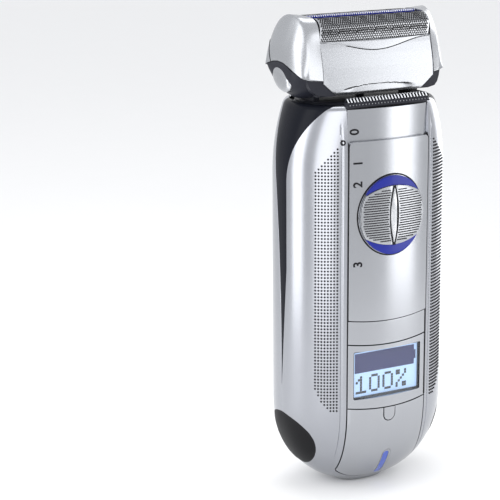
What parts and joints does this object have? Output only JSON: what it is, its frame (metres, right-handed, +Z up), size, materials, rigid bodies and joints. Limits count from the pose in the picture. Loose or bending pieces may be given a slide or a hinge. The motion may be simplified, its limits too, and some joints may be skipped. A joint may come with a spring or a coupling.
{
  "type": "electric shaver",
  "caption": "Cordless foil shaver with a rounded two-part casing, sliding front switch with long-hair trimmer, display, and a swivelling foil head.",
  "frame": {"origin": "middle of the bounding box at the height of the base", "axes": "+X to the right seen from the front, +Y to the back, +Z up towards the head; the switch and display face -Y"},
  "size_m": [0.0602, 0.0439, 0.1613],
  "materials": {
    "silver": "satin silver lacquer",
    "silver_plate": "brushed and clear-coated",
    "black": "gloss",
    "dark_plastic": "matte",
    "rubber": "soft matte",
    "glass": "clear",
    "lcd": "backlit",
    "blue": "gloss blue",
    "steel": "ground",
    "foil": "perforated",
    "battery": "sleeve",
    "board": "solder mask",
    "brass": "gold plated"
  },
  "bodies": {
    "root": {"front_shell": "silver", "rear_shell": "silver", "side_panel_left": "black", "side_panel_right": "black", "corner_pad_left": "rubber", "corner_pad_right": "rubber", "dot_grip_left": "rubber", "dot_grip_right": "rubber", "lower_cover": "silver_plate", "display_bezel": "silver_plate", "display_window": "glass", "lcd_module": "lcd", "middle_plate": "silver_plate", "charge_light": "blue", "guide_plate": "dark_plastic", "neck_collar": "dark_plastic", "neck_bracket": "dark_plastic", "chassis": "dark_plastic", "battery_cells": "battery", "circuit_board": "board", "motor": "steel", "power_inlet": "dark_plastic", "inlet_pins": "steel", "charging_contacts": "brass", "case_screws": "steel"},
    "reset_button": {"reset_button": "silver_plate"},
    "trimmer": {"trimmer_carrier": "silver_plate", "trimmer_comb": "steel"},
    "trimmer_blade": {"trimmer_blade": "steel"},
    "switch": {"slide_panel": "silver_plate", "switch_knob": "silver_plate", "knob_crescents": "blue"},
    "lock_rib": {"knob_lock_rib": "silver_plate"},
    "rotor": {"motor_shaft": "steel"},
    "bridge": {"drive_bridge": "dark_plastic"},
    "head": {"head_cradle": "dark_plastic", "pivot_pins": "steel"},
    "release_left": {"release_button_left": "silver"},
    "release_right": {"release_button_right": "silver"},
    "cassette": {"foil_frame": "steel", "head_front_cover": "silver", "head_rear_cover": "silver", "end_cap_left": "silver", "end_cap_right": "silver"},
    "front_foil": {"front_foil": "foil"},
    "rear_foil": {"rear_foil": "foil"},
    "middle": {"middle_trimmer": "blue"},
    "middle_blade": {"middle_blade": "steel"},
    "cutter_drive": {"cutter_drive": "dark_plastic", "cutter_spring_front": "steel", "cutter_spring_rear": "steel"},
    "cutter_front": {"cutter_block_front": "steel"},
    "cutter_rear": {"cutter_block_rear": "steel"}
  },
  "joints": [
    {"name": "trimmer_extend", "type": "slide", "parent": "root", "child": "trimmer", "axis": [0, 0, 1], "range_m": [0, 0.029]},
    {"name": "switch_slide", "type": "slide", "parent": "trimmer", "child": "switch", "axis": [0, 0, 1], "range_m": [0, 0.011]},
    {"name": "lock_rib_press", "type": "slide", "parent": "switch", "child": "lock_rib", "axis": [0, 1, 0], "range_m": [0, 0.0008], "stiffness_N_per_m": 600},
    {"name": "trimmer_blade_swing", "type": "slide", "parent": "trimmer", "child": "trimmer_blade", "axis": [1, 0, 0], "range_m": [-0.0012, 0.0012]},
    {"name": "reset_press", "type": "slide", "parent": "root", "child": "reset_button", "axis": [0, 1, 0], "range_m": [0, 0.0008], "stiffness_N_per_m": 600},
    {"name": "motor_spin", "type": "hinge", "parent": "root", "child": "rotor", "pos_m": [0, 0.006, 0.113], "axis": [0, 0, 1], "continuous": true},
    {"name": "bridge_swing", "type": "slide", "parent": "root", "child": "bridge", "axis": [1, 0, 0], "range_m": [-0.0012, 0.0012]},
    {"name": "head_tilt", "type": "hinge", "parent": "root", "child": "head", "pos_m": [0, 0, 0.146], "axis": [-1, 0, 0], "range_deg": [-12, 12]},
    {"name": "release_left_press", "type": "slide", "parent": "head", "child": "release_left", "axis": [1, 0, 0], "range_m": [0, 0.0015], "stiffness_N_per_m": 600},
    {"name": "release_right_press", "type": "slide", "parent": "head", "child": "release_right", "axis": [-1, 0, 0], "range_m": [0, 0.0015], "stiffness_N_per_m": 600},
    {"name": "cassette_lift", "type": "slide", "parent": "head", "child": "cassette", "axis": [0, 0, 1], "range_m": [0, 0.02]},
    {"name": "front_foil_float", "type": "slide", "parent": "cassette", "child": "front_foil", "axis": [0, 0, -1], "range_m": [0, 0.0015], "stiffness_N_per_m": 800},
    {"name": "rear_foil_float", "type": "slide", "parent": "cassette", "child": "rear_foil", "axis": [0, 0, -1], "range_m": [0, 0.0015], "stiffness_N_per_m": 800},
    {"name": "middle_float", "type": "slide", "parent": "cassette", "child": "middle", "axis": [0, 0, -1], "range_m": [0, 0.0015], "stiffness_N_per_m": 800},
    {"name": "middle_blade_swing", "type": "slide", "parent": "middle", "child": "middle_blade", "axis": [1, 0, 0], "range_m": [-0.0012, 0.0012]},
    {"name": "cutter_drive_swing", "type": "slide", "parent": "head", "child": "cutter_drive", "axis": [1, 0, 0], "range_m": [-0.0012, 0.0012]},
    {"name": "cutter_front_float", "type": "slide", "parent": "cutter_drive", "child": "cutter_front", "axis": [0, 0, -1], "range_m": [0, 0.0015], "deforming": ["cutter_spring_front"]},
    {"name": "cutter_rear_float", "type": "slide", "parent": "cutter_drive", "child": "cutter_rear", "axis": [0, 0, -1], "range_m": [0, 0.0015], "deforming": ["cutter_spring_rear"]}
  ],
  "couplings": [
    {"joint": "cutter_drive_swing", "follows": "bridge_swing", "ratio": 1},
    {"joint": "middle_blade_swing", "follows": "bridge_swing", "ratio": 1},
    {"joint": "cutter_front_float", "follows": "front_foil_float", "ratio": 1},
    {"joint": "cutter_rear_float", "follows": "rear_foil_float", "ratio": 1}
  ]
}
